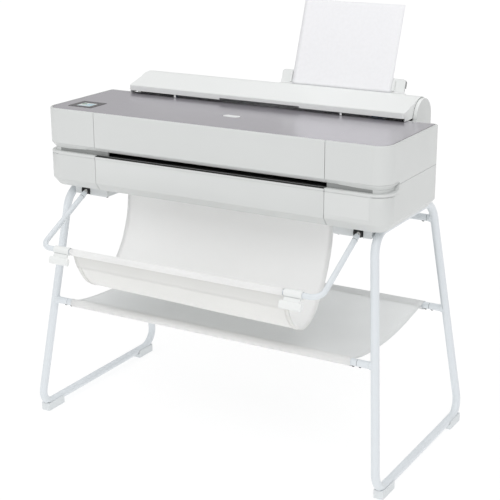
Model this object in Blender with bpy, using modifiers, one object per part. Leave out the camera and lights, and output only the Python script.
"""A 24-inch large format plotter on a tubular stand, with a media bin, a shelf, a roll bay
and a sheet feeder. Metres; +X right, +Y to the rear, +Z up; the floor is z = 0, and the
origin is under the middle of the whole object's box."""

import math

import bmesh
import bpy
from mathutils import Matrix, Vector

# ---- Driving dimensions ------------------------------------------------------------------
GAP = 0.0003  # between pieces that touch
WALL = 0.003  # moulded covers

HALF_WIDTH = 0.5066  # printer body
BODY_FRONT = -0.171
BODY_REAR = 0.140
FRONT_RADIUS = 0.0435  # body corners in plan
REAR_RADIUS = 0.012
UNDERSIDE = 0.6685
TUCK = 0.017  # how far the lower body curves in at its bottom
TUCK_TOP = 0.696
SEAM_Z = 0.7806  # where upper and lower body meet at the sides
GROOVE_BOTTOM = 0.766
GROOVE_TOP = 0.788
GROOVE_END = -0.097  # the groove wraps the front corners to here
TOP = 0.8826
RIM = 0.0062  # white rim round the top plate
RIM_ROUND = 0.004
SEAM_X = 0.3415  # vertical seams of the centre covers
SLOT_LEFT = -0.305  # output slot
SLOT_RIGHT = 0.342

COVER_HINGE_Y = 0.0995  # top cover
ROLL_Y = 0.2145  # roll cover and spindle axis
ROLL_Z = 0.8785
ROLL_COVER_RADIUS = 0.0535
ROLL_COVER_HALF = 0.4235
LIP_Y = 0.110  # front lip of the roll cover
LIP_BOTTOM = 0.891
LIP_TOP = 0.9045
CAP_RADIUS = 0.0495
BAY_RADIUS = 0.0465
BAY_BOTTOM = 0.690
CAP_THICK = 0.010

TUBE = 0.011  # stand tube radius
BAR = 0.0095  # crossbar radius
ARM = 0.0072  # bin arm radius
BAR_Z = 0.339
STUB_X = 0.446
PIVOT = Vector((0.412, -0.118, 0.652))
RAIL = Vector((0.413, -0.323, 0.5445))
BIN_HALF = 0.315
CLOTH = 0.0016

SHEET_X = 0.1787  # A3 sheet in the feeder
SHEET_WIDTH = 0.297
SHEET_LEAN = math.radians(19.9)
SHEET_FOOT = Vector((SHEET_X, 0.2425, 0.9300))
RIDGE_TOP = 0.9288  # feeder ridge on the roll cover
SHEET_TOP_Z = 1.150
SUPPORT_HALF = 0.184  # the tray behind the sheet, whose ears show on both sides
SUPPORT_TOP = 0.038
SUPPORT_ROUND = 0.009

CARRIAGE_X = 0.395  # parked over the service end
RAIL_Y = -0.035
RAIL_Z = 0.835
BELT_Y = 0.034
BELT_Z = 0.846
PULLEY_X = 0.446
PULLEY_RADIUS = 0.009
ROLLER_Y = 0.015
ROLLER_Z = 0.754
ROLLER_RADIUS = 0.012
PINCH_RADIUS = 0.006
SWITCH_TILT = 5.0  # degrees either way

TOUCH_CENTRE = (-0.4244, -0.0843)
TOUCH_SIZE = (0.0779, 0.0731)

# ---- Scene, materials and small helpers ----------------------------------------------------
for old in list(bpy.data.objects):
    bpy.data.objects.remove(old, do_unlink=True)

PARTS = bpy.data.collections.new("large_format_plotter")
CUTTERS = bpy.data.collections.new("cutters")
bpy.context.scene.collection.children.link(PARTS)
bpy.context.scene.collection.children.link(CUTTERS)

FINISHES = {
    "housing": ((0.70, 0.72, 0.71), 0.45, 0.0),
    "roll_cover": ((0.83, 0.85, 0.84), 0.45, 0.0),
    "top_plate": ((0.45, 0.44, 0.47), 0.35, 0.3),
    "tube": ((0.75, 0.79, 0.82), 0.4, 0.0),
    "bracket": ((0.66, 0.70, 0.71), 0.5, 0.0),
    "black": ((0.02, 0.02, 0.02), 0.5, 0.0),
    "grey": ((0.35, 0.36, 0.37), 0.55, 0.0),
    "steel": ((0.6, 0.6, 0.6), 0.3, 1.0),
    "rubber": ((0.03, 0.03, 0.03), 0.8, 0.0),
    "display": ((0.35, 0.55, 0.6), 0.2, 0.0),
    "bin_cloth": ((0.82, 0.82, 0.79), 0.9, 0.0),
    "shelf_cloth": ((0.58, 0.60, 0.60), 0.9, 0.0),
    "paper": ((0.9, 0.9, 0.92), 0.9, 0.0),
    "hub": ((0.05, 0.25, 0.6), 0.4, 0.0),
    "board": ((0.02, 0.25, 0.1), 0.6, 0.0),
    "ink_black": ((0.03, 0.03, 0.03), 0.4, 0.0),
    "ink_cyan": ((0.0, 0.4, 0.7), 0.4, 0.0),
    "ink_magenta": ((0.7, 0.05, 0.3), 0.4, 0.0),
    "ink_yellow": ((0.85, 0.7, 0.05), 0.4, 0.0),
}


def finish_of(key):
    """The Principled material for one finish, made once."""
    if key in bpy.data.materials:
        return bpy.data.materials[key]
    material = bpy.data.materials.new(key)
    material.use_nodes = True
    shader = material.node_tree.nodes["Principled BSDF"]
    color, roughness, metallic = FINISHES[key]
    shader.inputs["Base Color"].default_value = (*color, 1.0)
    shader.inputs["Roughness"].default_value = roughness
    shader.inputs["Metallic"].default_value = metallic
    return material


def place(name, mesh, finish, origin=(0, 0, 0)):
    """A part object whose origin is moved to a joint's axis, its mesh staying where it is."""
    mesh.transform(Matrix.Translation(-Vector(origin)))
    part = bpy.data.objects.new(name, mesh)
    part.location = origin
    mesh.materials.clear()
    mesh.materials.append(finish_of(finish))
    PARTS.objects.link(part)
    return part


def mesh_from(bm, name):
    bmesh.ops.recalc_face_normals(bm, faces=bm.faces)
    mesh = bpy.data.meshes.new(name)
    bm.to_mesh(mesh)
    bm.free()
    return mesh


def box_mesh(name, low, high, bevel=0.0, segments=2):
    bm = bmesh.new()
    size = [high[i] - low[i] for i in range(3)]
    middle = [(high[i] + low[i]) / 2 for i in range(3)]
    matrix = Matrix.Translation(middle) @ Matrix.Diagonal((*size, 1))
    bmesh.ops.create_cube(bm, size=1, matrix=matrix)
    if bevel:
        bmesh.ops.bevel(bm, geom=bm.edges[:], offset=bevel, segments=segments, profile=0.5, affect="EDGES")
    return mesh_from(bm, name)


def cylinder_mesh(name, start, end, radius, sides=16, end_radius=None):
    """A cylinder or cone from start to end."""
    bm = bmesh.new()
    start, end = Vector(start), Vector(end)
    along = end - start
    turn = along.to_track_quat("Z", "Y").to_matrix().to_4x4()
    bmesh.ops.create_cone(
        bm,
        cap_ends=True,
        segments=sides,
        radius1=radius,
        radius2=radius if end_radius is None else end_radius,
        depth=along.length,
        matrix=Matrix.Translation((start + end) / 2) @ turn,
    )
    return mesh_from(bm, name)


def prism_mesh(name, outline, axis, low, high):
    """A flat outline swept along axis from low to high. Its points give the other two axes in order."""
    others = [i for i in range(3) if i != axis]
    bm = bmesh.new()
    ring = []
    for u, v in outline:
        co = [0.0, 0.0, 0.0]
        co[axis] = low
        co[others[0]], co[others[1]] = u, v
        ring.append(bm.verts.new(co))
    face = bm.faces.new(ring)
    swept = bmesh.ops.extrude_face_region(bm, geom=[face])
    shift = [0.0, 0.0, 0.0]
    shift[axis] = high - low
    moved = [item for item in swept["geom"] if isinstance(item, bmesh.types.BMVert)]
    bmesh.ops.translate(bm, vec=shift, verts=moved)
    return mesh_from(bm, name)


def stack_mesh(name, sections):
    """A solid through level outlines: sections is a list of (points, z), all with as many points."""
    bm = bmesh.new()
    rings = [[bm.verts.new((x, y, z)) for x, y in points] for points, z in sections]
    for below, above in zip(rings, rings[1:]):
        for i in range(len(below)):
            j = (i + 1) % len(below)
            bm.faces.new((below[i], below[j], above[j], above[i]))
    bm.faces.new(list(reversed(rings[0])))
    bm.faces.new(rings[-1])
    return mesh_from(bm, name)


def cutter(name, mesh):
    """A hidden helper solid for a Boolean."""
    helper = bpy.data.objects.new("cut_" + name, mesh)
    helper.hide_render = True
    helper.display_type = "WIRE"
    CUTTERS.objects.link(helper)
    return helper


def boolean(part, helper, operation="DIFFERENCE"):
    modifier = part.modifiers.new(helper.name, "BOOLEAN")
    modifier.operation = operation
    modifier.object = helper
    return part


def cut_box(part, name, low, high):
    return boolean(part, cutter(name, box_mesh(name, low, high)))


def arc(centre, radius, start, end, steps):
    """Points of an arc in degrees, both ends included."""
    angles = [math.radians(start + (end - start) * i / steps) for i in range(steps + 1)]
    return [(centre[0] + radius * math.cos(a), centre[1] + radius * math.sin(a)) for a in angles]


def rounded_corners(points, radius, steps=6, closed=True):
    """Corner points turned into a smooth path, each corner rounded by an arc of this radius."""
    points = [Vector(p) for p in points]
    path = []
    for i, corner in enumerate(points):
        if not closed and i in (0, len(points) - 1):
            path.append(corner)
            continue
        back = (points[i - 1] - corner).normalized()
        ahead = (points[(i + 1) % len(points)] - corner).normalized()
        half = math.acos(max(-1.0, min(1.0, back.dot(ahead)))) / 2
        bisector = (back + ahead).normalized()
        centre = corner + bisector * (radius / math.sin(half))
        first = corner + back * (radius / math.tan(half)) - centre
        last = corner + ahead * (radius / math.tan(half)) - centre
        sweep = math.pi - 2 * half
        for k in range(steps + 1):
            t = k / steps
            spoke = first * math.sin((1 - t) * sweep) + last * math.sin(t * sweep)
            path.append(centre + spoke / math.sin(sweep))
    return path


def tube_mesh(name, path, radius, cyclic=False, resolution=4):
    """A round tube along a path, as a closed mesh."""
    curve = bpy.data.curves.new(name, "CURVE")
    curve.dimensions = "3D"
    curve.bevel_depth = radius
    curve.bevel_resolution = resolution
    curve.use_fill_caps = True
    spline = curve.splines.new("POLY")
    spline.points.add(len(path) - 1)
    for point, co in zip(spline.points, path):
        point.co = (*co, 1.0)
    spline.use_cyclic_u = cyclic
    guide = bpy.data.objects.new(name + "_guide", curve)
    CUTTERS.objects.link(guide)
    evaluated = guide.evaluated_get(bpy.context.evaluated_depsgraph_get())
    mesh = bpy.data.meshes.new_from_object(evaluated)
    bpy.data.objects.remove(guide)
    bm = bmesh.new()
    bm.from_mesh(mesh)
    bmesh.ops.remove_doubles(bm, verts=bm.verts, dist=1e-6)
    return mesh_from(bm, name)


def turned_mesh(name, profile, sides):
    """A solid turned about X from (x, radius) points; both ends are closed on the axis."""
    bm = bmesh.new()
    rings = []
    for x, radius in profile:
        angles = [2 * math.pi * k / sides for k in range(sides)]
        rings.append([bm.verts.new((x, radius * math.cos(a), radius * math.sin(a))) for a in angles])
    for left, right in zip(rings, rings[1:]):
        for k in range(sides):
            m = (k + 1) % sides
            bm.faces.new((left[k], left[m], right[m], right[k]))
    bm.faces.new(rings[0])
    bm.faces.new(rings[-1])
    return mesh_from(bm, name)


def cloth_mesh(name, profile, half_width, thickness):
    """A sheet whose section is the profile of (y, z) points, with thickness on both sides of it."""
    bm = bmesh.new()
    rows = [[bm.verts.new((x, y, z)) for x in (-half_width, half_width)] for y, z in profile]
    for one, two in zip(rows, rows[1:]):
        bm.faces.new((one[0], one[1], two[1], two[0]))
    mesh = mesh_from(bm, name)
    guide = bpy.data.objects.new(name + "_guide", mesh)
    CUTTERS.objects.link(guide)
    solid = guide.modifiers.new("thickness", "SOLIDIFY")
    solid.thickness = thickness
    solid.offset = 0.0
    solid.use_even_offset = True
    evaluated = guide.evaluated_get(bpy.context.evaluated_depsgraph_get())
    result = bpy.data.meshes.new_from_object(evaluated)
    bpy.data.objects.remove(guide)
    return result


def smooth_points(points, steps=3):
    """Catmull-Rom points through a short list of (y, z) points."""
    padded = [points[0], *points, points[-1]]
    path = []
    for a, b, c, d in zip(padded, padded[1:], padded[2:], padded[3:]):
        for k in range(steps):
            t = k / steps
            path.append(
                tuple(
                    0.5
                    * (
                        2 * b[i]
                        + (c[i] - a[i]) * t
                        + (2 * a[i] - 5 * b[i] + 4 * c[i] - d[i]) * t * t
                        + (3 * b[i] - a[i] - 3 * c[i] + d[i]) * t**3
                    )
                    for i in range(2)
                )
            )
    return path + [tuple(points[-1])]


def body_outline(inset, rear=BODY_REAR):
    """The printer body's plan, moved in by inset, from the front left corner round."""
    x, front, back = HALF_WIDTH - inset, BODY_FRONT + inset, rear - inset
    wide = max(FRONT_RADIUS - inset, 0.002)
    small = max(REAR_RADIUS - inset, 0.002)
    return (
        arc((-x + wide, front + wide), wide, 180, 270, 7)
        + arc((x - wide, front + wide), wide, 270, 360, 7)
        + arc((x - small, back - small), small, 0, 90, 3)
        + arc((-x + small, back - small), small, 90, 180, 3)
    )


def sides():
    """The two sides, as (name, sign)."""
    return (("left", -1), ("right", 1))


# ---- Stand ---------------------------------------------------------------------------------
FLOOR_AXIS = 0.022  # height of the bottom tubes
TOP_AXIS = 0.6565  # height of the tubes under the body
UPPER_BAR_Z = 0.604  # rear bar under the body


def leg_x(z):
    return 0.5249 - 0.10185 * (z - FLOOR_AXIS)


def front_leg_y(z):
    return -0.2309 + 0.1537 * (z - FLOOR_AXIS)


def rear_leg_y(z):
    return 0.3333 - 0.1648 * (z - FLOOR_AXIS)


def make_side_frames():
    """A closed loop of tube on each side, with the welded stubs that take the crossbars."""
    for side, sign in sides():
        top, floor = TOP_AXIS, FLOOR_AXIS
        lower = rounded_corners(
            [
                (leg_x(top), front_leg_y(top), top),
                (leg_x(floor), front_leg_y(floor), floor),
                (leg_x(floor), rear_leg_y(floor), floor),
                (leg_x(top), rear_leg_y(top), top),
            ],
            0.045,
            steps=5,
        )
        upper = rounded_corners(
            [
                (leg_x(floor), rear_leg_y(floor), floor),
                (leg_x(top), rear_leg_y(top), top),
                (leg_x(top), front_leg_y(top), top),
                (leg_x(floor), front_leg_y(floor), floor),
            ],
            0.062,
            steps=5,
            closed=False,
        )
        path = lower[6:18] + upper[1:13]
        path = [(sign * x, y, z) for x, y, z in path]
        frame = place("side_frame_" + side, tube_mesh("frame", path, TUBE, cyclic=True), "tube")
        for where, y, z in (
            ("front", front_leg_y(BAR_Z), BAR_Z),
            ("rear", rear_leg_y(BAR_Z), BAR_Z),
            ("upper", rear_leg_y(UPPER_BAR_Z), UPPER_BAR_Z),
        ):
            start = (sign * leg_x(z), y, z)
            stub = cylinder_mesh(where, start, (sign * STUB_X, y, z), BAR, 12)
            boolean(frame, cutter(f"stub_{where}_{side}", stub), "UNION")


def make_crossbars():
    for name, y, z in (
        ("crossbar_front", front_leg_y(BAR_Z), BAR_Z),
        ("crossbar_rear", rear_leg_y(BAR_Z), BAR_Z),
        ("crossbar_upper_rear", rear_leg_y(UPPER_BAR_Z), UPPER_BAR_Z),
    ):
        reach = STUB_X - GAP
        place(name, cylinder_mesh(name, (-reach, y, z), (reach, y, z), BAR, 12), "tube")


def make_feet():
    """Plastic shoes clipped under the floor tubes, at the start of their four bends."""
    for side, sign in sides():
        for where, middle in (("front", -0.178), ("rear", 0.278)):
            name = f"foot_{where}_{side}"
            x = sign * leg_x(FLOOR_AXIS)
            low = (x - 0.0135, middle - 0.036, 0.0)
            high = (x + 0.0135, middle + 0.036, 0.0245)
            foot = place(name, box_mesh(name, low, high, 0.002, 1), "bracket")
            start = (x, middle - 0.06, FLOOR_AXIS)
            end = (x, middle + 0.06, FLOOR_AXIS)
            boolean(foot, cutter(name, cylinder_mesh(name, start, end, TUBE + 0.0006, 24)))


def make_shelf():
    """The cloth shelf, sewn into a sleeve round each lower crossbar, sagging between them."""
    front, rear = front_leg_y(BAR_Z), rear_leg_y(BAR_Z)
    ring = BAR + 0.0014
    sag, steps = 0.030, 10
    path = arc((front, BAR_Z), ring, 330, 90, 8)
    for i in range(1, steps):
        t = i / steps
        path.append((front + (rear - front) * t, BAR_Z + ring - 4 * sag * t * (1 - t)))
    path += arc((rear, BAR_Z), ring, 90, -150, 8)
    place("shelf_fabric", cloth_mesh("shelf", path, 0.430, CLOTH), "shelf_cloth")


def make_brackets():
    """Under the body's front corners: each holds the body to the side frame and carries a bin pivot."""
    for side, sign in sides():
        name = "mount_bracket_" + side
        edges = sorted((sign * 0.342, sign * 0.4485))
        low, high = (edges[0], -0.123, 0.6385), (edges[1], -0.032, UNDERSIDE - GAP)
        bracket = place(name, box_mesh(name, low, high, 0.004, 2), "bracket")
        notch = sorted((sign * 0.399, sign * 0.425))
        cut_box(bracket, name, (notch[0], -0.2, 0.6), (notch[1], PIVOT.y + 0.0185, 0.667))
        pin = [(sign * 0.380, PIVOT.y, PIVOT.z), (sign * 0.442, PIVOT.y, PIVOT.z)]
        boolean(bracket, cutter(name + "_pin", cylinder_mesh(name, *pin, 0.0036, 16)))


# ---- Media bin -----------------------------------------------------------------------------
BIN_SECTION = [
    (-0.060, 0.6615),
    (-0.063, 0.632),
    (-0.071, 0.583),
    (-0.096, 0.520),
    (-0.132, 0.464),
    (-0.166, 0.430),
    (-0.207, 0.414),
    (-0.244, 0.422),
    (-0.274, 0.446),
    (-0.300, 0.492),
    (-0.3125, 0.531),
]
CLIP_FLAP = [  # section of the finger grip under each rail clip, from the rail's axis
    (-0.0050, -0.0090),
    (-0.0112, -0.0170),
    (-0.0142, -0.0350),
    (-0.0175, -0.0399),
    (-0.0230, -0.0389),
    (-0.0258, -0.0345),
    (-0.0226, -0.0170),
    (-0.0196, -0.0132),
    (-0.0150, -0.0130),
    (-0.0098, -0.0066),
]
BIN_SPLIT = 6  # the lowest point, where the hung sheet meets the swinging front


def make_bin():
    hinge = (0, PIVOT.y, PIVOT.z)
    reach = PIVOT + (RAIL - PIVOT).normalized() * 0.0125
    corners = [
        (reach.x, reach.y, reach.z),
        (RAIL.x, RAIL.y, RAIL.z),
        (-RAIL.x, RAIL.y, RAIL.z),
        (-reach.x, reach.y, reach.z),
    ]
    path = rounded_corners(corners, 0.028, steps=6, closed=False)
    place("bin_rail", tube_mesh("bin_rail", path, ARM, resolution=4), "tube", hinge)

    for side, sign in sides():
        name = "arm_knuckle_" + side
        start = (sign * 0.4005, PIVOT.y, PIVOT.z)
        end = (sign * 0.4235, PIVOT.y, PIVOT.z)
        knuckle = place(name, cylinder_mesh(name, start, end, 0.0115, 20), "black", hinge)
        pin = ((sign * 0.382, PIVOT.y, PIVOT.z), (sign * 0.440, PIVOT.y, PIVOT.z))
        union = cutter(name + "_pin", cylinder_mesh(name, *pin, 0.003, 16))
        boolean(knuckle, union, "UNION")

        name = "rail_clip_" + side
        edges = sorted((sign * 0.3185, sign * 0.3665))
        sleeve = ((edges[0], RAIL.y, RAIL.z), (edges[1], RAIL.y, RAIL.z))
        clip = place(name, cylinder_mesh(name, *sleeve, ARM + 0.0033, 20), "roll_cover", hinge)
        flap = [(RAIL.y + y, RAIL.z + z) for y, z in CLIP_FLAP]
        boolean(clip, cutter(name + "_flap", prism_mesh(name, flap, 0, *edges)), "UNION")
        bore = ((edges[0] - 0.01, RAIL.y, RAIL.z), (edges[1] + 0.01, RAIL.y, RAIL.z))
        boolean(clip, cutter(name + "_bore", cylinder_mesh(name, *bore, ARM + 0.0008, 20)))

    back = smooth_points(BIN_SECTION[: BIN_SPLIT + 1])
    place("bin_fabric_back", cloth_mesh("back", back, BIN_HALF, CLOTH), "bin_cloth")
    front = smooth_points(BIN_SECTION[BIN_SPLIT:])
    front[0] = (front[0][0] - 0.0006, front[0][1])
    wrap = arc((RAIL.y, RAIL.z), ARM + 0.0022, 295, 50, 9)
    front = front[:-1] + [(RAIL.y + 0.0085, RAIL.z - 0.0140)] + wrap[1:]
    cloth = cloth_mesh("front", front, BIN_HALF, CLOTH)
    place("bin_fabric_front", cloth, "bin_cloth", hinge)
    bar = box_mesh("bar", (-0.325, -0.068, 0.6635), (0.325, -0.052, UNDERSIDE - GAP), 0.0008, 1)
    place("fabric_clamp_bar", bar, "bracket")


# ---- Printer body --------------------------------------------------------------------------
def lower_sections(inset):
    """Levels of the lower body: flat bottom, a curved tuck, then upright walls."""
    levels = []
    for degrees in (0, 22, 45, 67, 90):
        a = math.radians(degrees)
        tuck = TUCK * (1 - math.sin(a))
        z = TUCK_TOP - (TUCK_TOP - UNDERSIDE) * math.cos(a)
        levels.append((body_outline(inset + tuck), z + inset * math.cos(a)))
    return levels


def groove_cutter(name):
    """The band that parts upper and lower body round the front, with round ends at the sides."""
    band = cutter(name, box_mesh(name, (-0.6, -0.3, GROOVE_BOTTOM), (0.6, GROOVE_END - 0.011, GROOVE_TOP)))
    middle = (GROOVE_TOP + GROOVE_BOTTOM) / 2
    ends = ((-0.6, GROOVE_END - 0.011, middle), (0.6, GROOVE_END - 0.011, middle))
    radius = (GROOVE_TOP - GROOVE_BOTTOM) / 2
    boolean(band, cutter(name + "_end", cylinder_mesh(name, *ends, radius, 24)), "UNION")
    return band


PANEL_BACK = -0.118  # rear edge of the front panel under the body
DOOR = ((SEAM_X + GAP, 0.700), (0.4600, 0.7575))  # ink door, (x, z) corners
INK_X = [0.3600 + 0.0265 * i for i in range(4)]


def make_lower_body():
    outer = lower_sections(0.0) + [(body_outline(0.0), SEAM_Z - GAP)]
    inner = lower_sections(WALL) + [(body_outline(WALL), 0.80)]
    panel_low = (-SEAM_X + GAP, -0.3, 0.5)
    panel_high = (SEAM_X - GAP, PANEL_BACK, 0.9)

    housing = place("lower_housing", stack_mesh("lower", outer), "housing")
    boolean(housing, cutter("lower_void", stack_mesh("void", inner)))
    cut_box(housing, "panel_bay", (-SEAM_X - GAP, -0.3, 0.5), (SEAM_X + GAP, PANEL_BACK + 2 * GAP, 0.9))
    boolean(housing, groove_cutter("groove_lower"))
    (x0, z0), (x1, z1) = DOOR
    cut_box(housing, "door_bay", (x0 - 2 * GAP, -0.3, z0), (x1, -0.14, z1))
    cut_box(housing, "inlet_bay", (0.4540, 0.13, 0.704), (0.4860, 0.15, 0.732))
    cut_box(housing, "switch_bay", (0.4590, 0.13, 0.744), (0.4810, 0.15, 0.762))

    panel = place("front_panel", stack_mesh("panel", outer), "housing")
    boolean(panel, cutter("panel_void", stack_mesh("void", inner)))
    keep = cutter("panel_keep", box_mesh("keep", panel_low, panel_high))
    boolean(panel, keep, "INTERSECT")
    boolean(panel, groove_cutter("groove_panel"))

    hinge = (0, BODY_FRONT, z0 + GAP)
    low = (x0 + GAP, BODY_FRONT, z0 + GAP)
    high = (x1 - GAP, BODY_FRONT + WALL, z1 - GAP)
    place("ink_door", box_mesh("door", low, high, 0.0006, 1), "housing", hinge)
    for x, ink in zip(INK_X, ("black", "cyan", "magenta", "yellow")):
        name = "ink_cartridge_" + ink
        low, high = (x - 0.0115, -0.160, 0.704), (x + 0.0115, -0.072, 0.753)
        place(name, box_mesh(name, low, high, 0.002, 1), "ink_" + ink)

    strip = place("slot_frame", stack_mesh("strip", band_sections(0.012)), "grey")
    boolean(strip, cutter("strip_void", stack_mesh("void", band_sections(0.016, 0.01))))
    cut_box(strip, "strip_rear", (-0.6, -0.085, 0.7), (0.6, 0.2, 0.9))
    cut_box(strip, "strip_slot", (SLOT_LEFT, -0.2, 0.7675), (SLOT_RIGHT, -0.1, 0.7865))


def band_sections(inset, extra=0.0):
    """The upright strip seen inside the groove."""
    outline = body_outline(inset)
    return [(outline, 0.7635 - extra), (outline, 0.7905 + extra)]


def make_upper_body():
    outer = [
        (body_outline(0.0), SEAM_Z + GAP),
        (body_outline(0.0), TOP - RIM_ROUND),
        (body_outline(RIM_ROUND * 0.3), TOP - RIM_ROUND * 0.3),
        (body_outline(RIM_ROUND), TOP),
    ]
    void = [(body_outline(WALL), 0.70), (body_outline(WALL), TOP - 0.0045)]
    recess_depth = 0.0015
    recess = [(body_outline(RIM), TOP - recess_depth), (body_outline(RIM), TOP + 0.01)]
    plate = [(body_outline(RIM + GAP), TOP - recess_depth + GAP), (body_outline(RIM + GAP), TOP - 0.0002)]
    bay = ((-SEAM_X - GAP, -0.3, 0.6), (SEAM_X + GAP, COVER_HINGE_Y + GAP, 1.0))
    keep_low = (-SEAM_X + GAP, -0.3, 0.6)
    keep_high = (SEAM_X - GAP, COVER_HINGE_Y - GAP, 1.0)

    housing = place("upper_housing", stack_mesh("upper", outer), "housing")
    boolean(housing, cutter("upper_void", stack_mesh("void", void)))
    boolean(housing, cutter("upper_recess", stack_mesh("recess", recess)))
    cut_box(housing, "cover_bay", *bay)
    boolean(housing, groove_cutter("groove_upper"))
    (cx, cy), (sx, sy) = TOUCH_CENTRE, TOUCH_SIZE
    touch_low = (cx - sx / 2 - GAP, cy - sy / 2 - GAP, 0.86)
    touch_high = (cx + sx / 2 + GAP, cy + sy / 2 + GAP, 0.9)
    cut_box(housing, "touch_bay", touch_low, touch_high)
    cut_box(housing, "paper_entry", (-0.335, 0.13, 0.70), (0.335, 0.15, 0.868))

    skin = place("housing_plate", stack_mesh("plate", plate), "top_plate")
    cut_box(skin, "plate_bay", *bay)
    cut_box(skin, "plate_touch", touch_low, touch_high)

    hinge = (0, COVER_HINGE_Y, TOP)
    cover = place("top_cover", stack_mesh("cover", outer), "housing", hinge)
    boolean(cover, cutter("cover_void", stack_mesh("void", void)))
    boolean(cover, cutter("cover_recess", stack_mesh("recess", recess)))
    boolean(cover, cutter("cover_keep", box_mesh("keep", keep_low, keep_high)), "INTERSECT")
    boolean(cover, groove_cutter("groove_cover"))
    plate_low = (keep_low[0], BODY_FRONT + RIM + GAP, TOP - recess_depth + GAP)
    plate_high = (keep_high[0], keep_high[1], TOP - 0.0002)
    place("cover_plate", box_mesh("plate", plate_low, plate_high), "top_plate", hinge)

    low = (cx - sx / 2, cy - sy / 2, 0.8740)
    high = (cx + sx / 2, cy + sy / 2, TOP + 0.0004)
    bezel = place("touch_bezel", box_mesh("bezel", low, high, 0.0006, 1), "black")
    window_low = (cx - 0.0290, cy - 0.0265, TOP - 0.0016)
    window_high = (cx + 0.0290, cy + 0.0215, TOP + 0.01)
    cut_box(bezel, "window", window_low, window_high)
    low = [v + GAP for v in window_low]
    high = (window_high[0] - GAP, window_high[1] - GAP, TOP)
    place("touch_display", box_mesh("display", low, high), "display")


# ---- Roll bay, roll cover and sheet feeder ---------------------------------------------------
def cap_outline(radius, bottom):
    """A round top on straight sides, as (y, z)."""
    return arc((ROLL_Y, ROLL_Z), radius, 0, 180, 16) + [(ROLL_Y - radius, bottom), (ROLL_Y + radius, bottom)]


def roll_cylinder(name, radius, x0, x1, segments=40):
    return cylinder_mesh(name, (x0, ROLL_Y, ROLL_Z), (x1, ROLL_Y, ROLL_Z), radius, segments)


def make_roll_bay():
    half = ROLL_COVER_HALF
    low = (-half, BODY_REAR + GAP, BAY_BOTTOM)
    high = (half, ROLL_Y + CAP_RADIUS, 0.831)
    bay = place("rear_housing", box_mesh("bay", low, high, 0.004, 2), "housing")
    boolean(bay, cutter("bay_tub", roll_cylinder("tub", CAP_RADIUS, -half, half)), "UNION")
    cut_box(bay, "bay_open", (-0.5, 0.10, ROLL_Z), (0.5, 0.30, 1.0))
    boolean(bay, cutter("bay_void", roll_cylinder("void", BAY_RADIUS, -half + WALL, half - WALL)))
    cut_box(bay, "spindle_seat", (-0.5, ROLL_Y - 0.0086, ROLL_Z - 0.001), (0.5, ROLL_Y + 0.0086, 1.0))
    boolean(bay, cutter("spindle_bore", roll_cylinder("bore", 0.0086, -0.5, 0.5, 24)))
    cut_box(bay, "bay_front", (-half + WALL, 0.12, 0.846), (half - WALL, 0.19, 1.0))
    cut_box(bay, "bay_hollow", (-half + WALL, BODY_REAR + WALL, BAY_BOTTOM + WALL), (half - WALL, 0.262, 0.815))
    cut_box(bay, "bay_back", (-half + 0.02, 0.1, BAY_BOTTOM + 0.008), (half - 0.02, 0.16, 0.80))

    for side, sign in sides():
        edges = sorted((sign * (half + GAP), sign * (half + GAP + CAP_THICK)))
        outline = cap_outline(CAP_RADIUS, BAY_BOTTOM)
        place("end_cap_" + side, prism_mesh("cap", outline, 0, *edges), "roll_cover")


def roll_cover_outline():
    """Lip, sloping top, and the round back down to the axis's height, as (y, z)."""
    to_axis = Vector((ROLL_Y - LIP_Y, ROLL_Z - LIP_TOP))
    slope = math.atan2(to_axis.y, to_axis.x) + math.asin(ROLL_COVER_RADIUS / to_axis.length)
    touch = 90 + math.degrees(slope)
    back = arc((ROLL_Y, ROLL_Z), ROLL_COVER_RADIUS, touch, 0, 16)
    round_lip = [(LIP_Y, LIP_TOP - 0.003), (LIP_Y + 0.001, LIP_TOP - 0.0008), (LIP_Y + 0.0032, LIP_TOP + 0.0009)]
    return [(LIP_Y, LIP_BOTTOM)] + round_lip + back


def make_roll_cover():
    """A lid over the roll, with closed ends, a finger notch, two posts and the feeder's ridge."""
    half = ROLL_COVER_HALF
    hinge = (0, ROLL_Y, ROLL_Z)
    outline = roll_cover_outline()
    solid = outline + [(ROLL_Y, ROLL_Z), (ROLL_Y - 0.048, LIP_BOTTOM)]
    cover = place("roll_cover", prism_mesh("cover", solid, 0, -half, half), "roll_cover", hinge)
    low, high = (SHEET_X - 0.188, 0.2395, 0.905), (SHEET_X + 0.188, 0.2520, RIDGE_TOP)
    boolean(cover, cutter("feeder_ridge", box_mesh("ridge", low, high, 0.0015, 2)), "UNION")
    boolean(cover, cutter("cover_round", roll_cylinder("round", CAP_RADIUS + 0.0007, -0.5, 0.5)))
    y0, y1 = LIP_Y + WALL, 0.200
    void = [(y0, 0.885), (y1, 0.885), (y1, 0.9268), (y0, LIP_TOP - 0.0026)]
    boolean(cover, cutter("cover_hollow", prism_mesh("hollow", void, 0, -half + WALL, half - WALL)))
    cut_box(cover, "finger_notch", (-0.123, 0.09, 0.88), (0.123, LIP_Y + WALL + 0.001, LIP_BOTTOM + 0.0045))
    for side, x in (("left", -0.269), ("right", 0.245)):
        post = box_mesh("post", (x - 0.003, LIP_Y + 0.0004, TOP + 0.0008), (x + 0.003, LIP_Y + 0.0026, 0.895))
        boolean(cover, cutter("post_" + side, post), "UNION")


def lean(point, along, out):
    """A point of the leaning sheet: along it upwards, and out of its front."""
    up = Vector((0, math.sin(SHEET_LEAN), math.cos(SHEET_LEAN)))
    front = Vector((0, -math.cos(SHEET_LEAN), math.sin(SHEET_LEAN)))
    return Vector(point) + up * along + front * out


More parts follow.
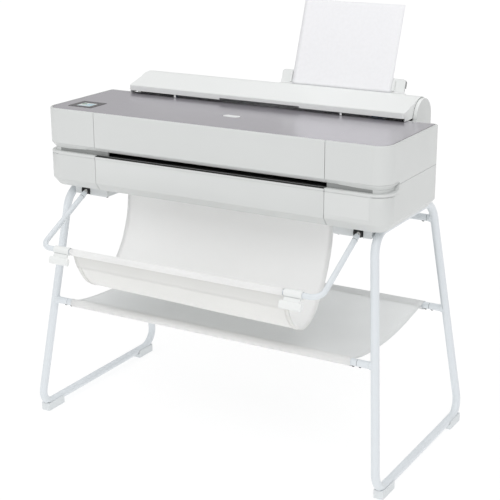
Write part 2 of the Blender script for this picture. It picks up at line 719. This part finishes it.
def leaning_mesh(name, outline, out_low, out_high):
    """A flat outline of (x, along) points lying in the sheet's plane, with a thickness."""
    mesh = prism_mesh(name, [(x, along) for x, along in outline], 2, out_low, out_high)
    for vertex in mesh.vertices:
        x, along, out = vertex.co
        vertex.co = lean((0, SHEET_FOOT.y, SHEET_FOOT.z), along, out) + Vector((x, 0, 0))
    bm = bmesh.new()
    bm.from_mesh(mesh)
    return mesh_from(bm, name)


def flat_outline(x0, x1, low, high, radius=0.0, steps=4):
    """A rectangle with its two top corners rounded."""
    if not radius:
        return [(x0, low), (x1, low), (x1, high), (x0, high)]
    right = arc((x1 - radius, high - radius), radius, 0, 90, steps)
    left = arc((x0 + radius, high - radius), radius, 90, 180, steps)
    return [(x0, low), (x1, low)] + right + left


def support_outline(low, inset):
    """The support's outline from a height along the lean to its top, moved in by inset."""
    half = SUPPORT_HALF - inset
    return flat_outline(SHEET_X - half, SHEET_X + half, low, SUPPORT_TOP - inset, SUPPORT_ROUND - inset)


def make_sheet_feeder():
    half = SHEET_WIDTH / 2
    fold = lean((0, SHEET_FOOT.y, SHEET_FOOT.z), 0.0035, -0.0043)
    mesh = leaning_mesh("support", support_outline(0.0020, 0.0), -0.0055, -0.0030)
    support = place("sheet_support", mesh, "roll_cover", fold)
    tray = leaning_mesh("tray", support_outline(0.0140, 0.0), -0.0135, -0.0050)
    boolean(support, cutter("support_tray", tray), "UNION")
    pocket = leaning_mesh("pocket", support_outline(0.0165, 0.0025), -0.0140, -0.0055)
    boolean(support, cutter("support_pocket", pocket))
    for side, sign in sides():
        name = "sheet_guide_" + side
        edges = sorted((SHEET_X + sign * (half + 0.001), SHEET_X + sign * (half + 0.0075)))
        outline = flat_outline(edges[0], edges[1], 0.004, 0.034, 0.0015, 2)
        place(name, leaning_mesh(name, outline, -0.0027, 0.0040), "roll_cover", fold)
    length = (SHEET_TOP_Z - SHEET_FOOT.z) / math.cos(SHEET_LEAN)
    sheet = flat_outline(SHEET_X - half, SHEET_X + half, 0.0, length)
    mesh = leaning_mesh("sheet", sheet, -0.0002, 0.0002)
    place("paper_sheet", mesh, "paper", (0, ROLL_Y, ROLL_Z))


def make_roll():
    axis = Matrix.Translation((0, ROLL_Y, ROLL_Z))
    hinge = (0, ROLL_Y, ROLL_Z)
    rod = turned_mesh("rod", [(-0.4225, 0.008), (0.4225, 0.008)], 20)
    rod.transform(axis)
    place("spindle", rod, "black", hinge)
    for side, sign in sides():
        edges = sorted((sign * 0.3053, sign * 0.3250))
        disc = roll_cylinder("hub", 0.0445, edges[0], edges[1], 36)
        hub = place("roll_hub_" + side, disc, "hub", hinge)
        boolean(hub, cutter("hub_bore_" + side, roll_cylinder("bore", 0.0083, -0.5, 0.5, 24)))
    paper = place("paper_roll", roll_cylinder("roll", 0.036, -0.305, 0.305, 40), "paper", hinge)
    boolean(paper, cutter("core", roll_cylinder("core", 0.0254, -0.5, 0.5, 24)))


# ---- Mechanism inside the printer ------------------------------------------------------------
def racetrack(radius, steps=8):
    """The belt's loop round its two pulleys, seen from above."""
    right = arc((PULLEY_X, BELT_Y), radius, -90, 90, steps)
    return right + arc((-PULLEY_X, BELT_Y), radius, 90, 270, steps)


def make_mechanism():
    rail = ((-0.462, RAIL_Y, RAIL_Z), (0.462, RAIL_Y, RAIL_Z))
    place("carriage_rail", cylinder_mesh("rail", *rail, 0.007, 20), "steel")

    x = CARRIAGE_X
    low, high = (x - 0.045, -0.080, 0.7745), (x + 0.045, 0.0228, 0.862)
    carriage = place("carriage", box_mesh("carriage", low, high, 0.003, 1), "black")
    boolean(carriage, cutter("carriage_bore", cylinder_mesh("bore", *rail, 0.0071, 20)))
    cut_box(carriage, "carriage_back", (x - 0.1, 0.006, 0.70), (x + 0.1, 0.05, 0.835))

    outer = racetrack(PULLEY_RADIUS + GAP + 0.0014)
    belt = place("drive_belt", stack_mesh("belt", [(outer, BELT_Z - 0.003), (outer, BELT_Z + 0.003)]), "rubber")
    inner = racetrack(PULLEY_RADIUS + GAP)
    boolean(belt, cutter("belt_void", stack_mesh("void", [(inner, 0.8), (inner, 0.9)])))
    for side, sign in sides():
        start, end = (sign * PULLEY_X, BELT_Y, BELT_Z - 0.0045), (sign * PULLEY_X, BELT_Y, BELT_Z + 0.0045)
        mesh = cylinder_mesh("pulley", start, end, PULLEY_RADIUS, 24)
        place("belt_pulley_" + side, mesh, "steel", start)
    motor = ((-PULLEY_X, BELT_Y, 0.790), (-PULLEY_X, BELT_Y, BELT_Z - 0.0050))
    place("carriage_motor", cylinder_mesh("motor", *motor, 0.016, 24), "grey")

    low, high = (-0.330, -0.148, 0.7480), (0.330, 0.0020, 0.7655)
    place("platen", box_mesh("platen", low, high, 0.001, 1), "black")
    axis = Matrix.Translation((0, ROLLER_Y, ROLLER_Z))
    profile = [(-0.372, 0.005), (-0.335, 0.005), (-0.335, ROLLER_RADIUS), (0.335, ROLLER_RADIUS)]
    profile += [(0.335, 0.005), (0.350, 0.005)]
    mesh = turned_mesh("roller", profile, 20)
    mesh.transform(axis)
    place("drive_roller", mesh, "rubber", (0, ROLLER_Y, ROLLER_Z))
    motor = ((-0.4200, ROLLER_Y, ROLLER_Z), (-0.3725, ROLLER_Y, ROLLER_Z))
    place("feed_motor", cylinder_mesh("feed", *motor, 0.017, 24), "grey")

    pinch_z = ROLLER_Z + ROLLER_RADIUS + PINCH_RADIUS + GAP
    profile = [(-0.322, 0.003)]
    for k in range(6):
        left = -0.310 + k * 0.1136
        profile += [(left, 0.003), (left, PINCH_RADIUS), (left + 0.052, PINCH_RADIUS), (left + 0.052, 0.003)]
    profile.append((0.322, 0.003))
    mesh = turned_mesh("pinch", profile, 12)
    mesh.transform(Matrix.Translation((0, ROLLER_Y, pinch_z)))
    place("pinch_rollers", mesh, "rubber", (0, ROLLER_Y, pinch_z))

    low, high = (-0.300, 0.030, 0.6745), (-0.100, 0.112, 0.6765)
    place("main_board", box_mesh("board", low, high), "board")
    low, high = (0.080, 0.030, 0.6720), (0.280, 0.112, 0.715)
    place("power_supply", box_mesh("supply", low, high, 0.0015, 1), "steel")
    low, high = (0.4545, 0.105, 0.7045), (0.4855, BODY_REAR, 0.7315)
    inlet = place("power_inlet", box_mesh("inlet", low, high), "black")
    cut_box(inlet, "inlet_socket", (0.4590, 0.120, 0.7095), (0.4810, 0.15, 0.7265))
    hinge = Vector((0.470, 0.136, 0.753))
    low, high = hinge - Vector((0.0105, 0.0075, 0.0068)), hinge + Vector((0.0105, 0.0060, 0.0068))
    mesh = box_mesh("switch", low, high, 0.0008, 1)
    tilt = Matrix.Rotation(math.radians(-SWITCH_TILT), 4, "X")
    mesh.transform(Matrix.Translation(hinge) @ tilt @ Matrix.Translation(-hinge))
    place("power_switch", mesh, "black", hinge)


make_side_frames()
make_crossbars()
make_feet()
make_shelf()
make_brackets()
make_bin()
make_lower_body()
make_upper_body()
make_roll_bay()
make_roll_cover()
make_sheet_feeder()
make_roll()
make_mechanism()

for part in PARTS.objects:
    part.data.shade_smooth()
    part.data.set_sharp_from_angle(angle=math.radians(35))
